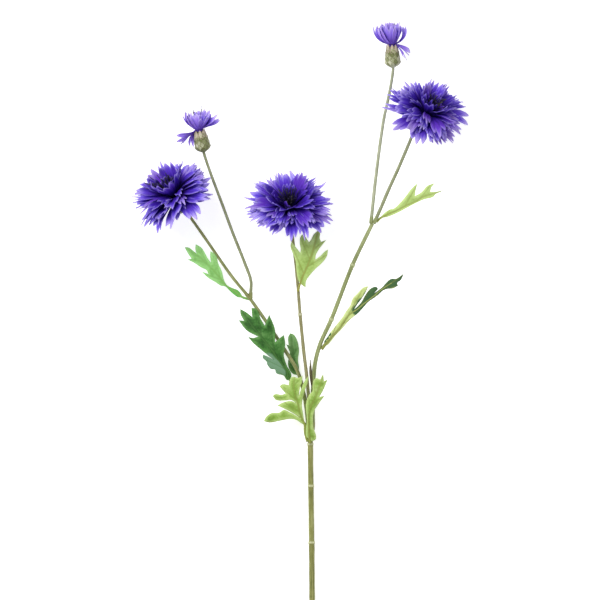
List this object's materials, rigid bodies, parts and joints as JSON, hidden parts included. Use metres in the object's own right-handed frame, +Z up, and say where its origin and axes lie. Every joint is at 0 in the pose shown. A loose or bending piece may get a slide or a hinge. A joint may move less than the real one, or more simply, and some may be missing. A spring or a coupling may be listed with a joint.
{
  "type": "cornflower spray",
  "caption": "Cut artificial cornflower spray lying flat: a jointed main stem forks into branches with double violet-blue blooms, half-open heads and lobed green leaves.",
  "frame": {"origin": "centre of the bounding box at its base, on the surface the spray lies on", "axes": "+Y from the cut end of the stem towards the flower heads, +Z up from the surface, +X to the right with the heads away from the viewer"},
  "size_m": [0.2545, 0.5245, 0.0602],
  "materials": {
    "main_stem": "moulded olive-green sleeve with faint lengthwise streaks",
    "branch": "moulded olive-green sleeve",
    "thin_stem": "moulded grey-green sleeve",
    "bloom_petals": "dyed cloth, deep violet-blue with paler tips",
    "bud_petals": "dyed cloth, lighter violet",
    "florets": "near-black violet threads",
    "calyx": "moulded grey-green scales with tan tips",
    "light_leaf": "printed cloth, light yellow-green with raised veins",
    "mid_leaf": "printed cloth, fresh green with raised veins",
    "dark_leaf": "printed cloth, dark green with raised veins"
  },
  "bodies": {
    "root": {"stem_main": "main_stem", "branch_left": "branch", "branch_mid": "branch", "branch_right": "branch", "stem_bloom_left": "thin_stem", "stem_bud_left": "thin_stem", "stem_bloom_right": "thin_stem", "stem_bud_right": "thin_stem", "bloom_left_petals": "bloom_petals", "bloom_left_florets": "florets", "bloom_left_calyx": "calyx", "bloom_mid_petals": "bloom_petals", "bloom_mid_florets": "florets", "bloom_mid_calyx": "calyx", "bloom_right_petals": "bloom_petals", "bloom_right_florets": "florets", "bloom_right_calyx": "calyx", "bud_left_petals": "bud_petals", "bud_left_florets": "florets", "bud_left_calyx": "calyx", "bud_right_petals": "bud_petals", "bud_right_florets": "florets", "bud_right_calyx": "calyx", "leaf_fork_left": "mid_leaf", "leaf_dark_left": "dark_leaf", "leaf_dark_small": "dark_leaf", "leaf_mid": "light_leaf", "leaf_fork_right": "light_leaf", "leaf_twist_right": "light_leaf", "leaf_whorl_left": "light_leaf", "leaf_whorl_right": "light_leaf"}
  },
  "joints": []
}
